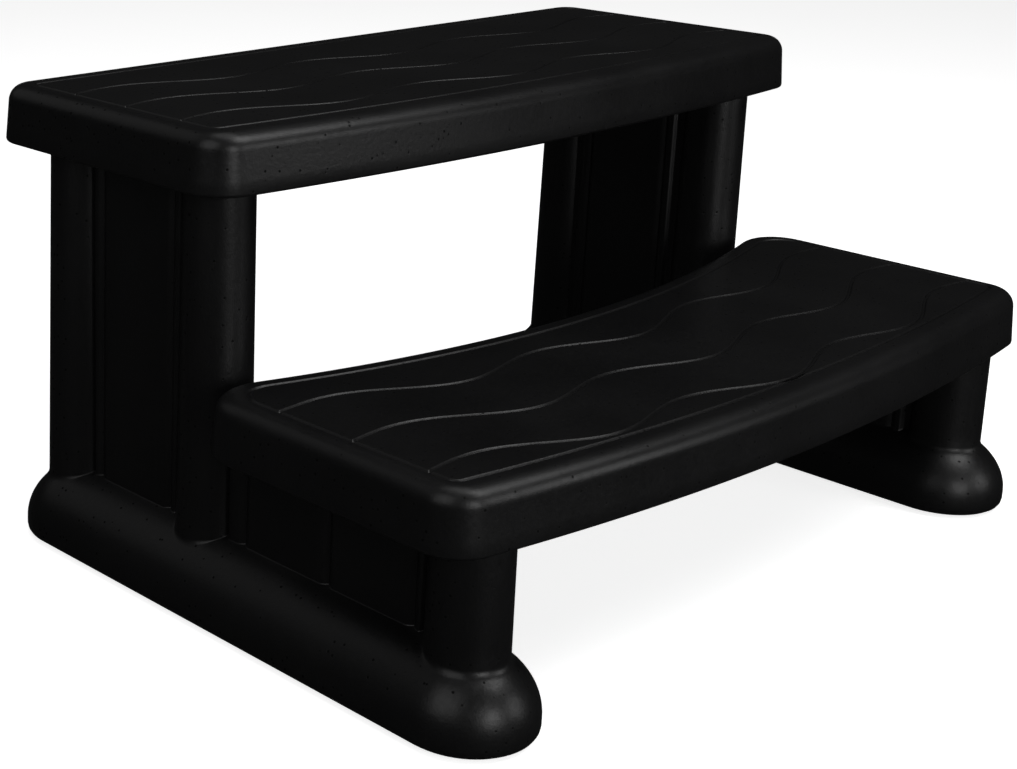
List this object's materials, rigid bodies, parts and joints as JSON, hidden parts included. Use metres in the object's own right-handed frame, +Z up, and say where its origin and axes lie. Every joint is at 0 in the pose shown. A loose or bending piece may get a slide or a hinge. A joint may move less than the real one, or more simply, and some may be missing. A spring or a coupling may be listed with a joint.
{
  "type": "spa steps",
  "caption": "Moulded plastic spa steps with bow-fronted treads, engraved wave lines and column-and-panel side frames on long rounded feet.",
  "frame": {"origin": "on the floor at the centre of the overall bounding box", "axes": "+Z up, +X along the treads to the right as seen by someone facing the steps, -Y towards that person, so the lower tread is on the -Y side"},
  "size_m": [0.792, 0.572, 0.406],
  "materials": {
    "moulded_shell": "satin",
    "screw_steel": "satin",
    "washer_steel": "satin",
    "plug_plastic": "matt",
    "pad_rubber": "matt"
  },
  "bodies": {
    "root": {"left_side_frame": "moulded_shell", "right_side_frame": "moulded_shell", "upper_tread": "moulded_shell", "lower_tread": "moulded_shell", "upper_left_screws": "screw_steel", "upper_right_screws": "screw_steel", "lower_left_screws": "screw_steel", "lower_right_screws": "screw_steel", "upper_left_washers": "washer_steel", "upper_right_washers": "washer_steel", "lower_left_washers": "washer_steel", "lower_right_washers": "washer_steel", "left_frame_vent_plug": "plug_plastic", "right_frame_vent_plug": "plug_plastic", "upper_tread_vent_plug": "plug_plastic", "lower_tread_vent_plug": "plug_plastic", "left_front_foot_pad": "pad_rubber", "left_rear_foot_pad": "pad_rubber", "right_front_foot_pad": "pad_rubber", "right_rear_foot_pad": "pad_rubber"}
  },
  "joints": []
}
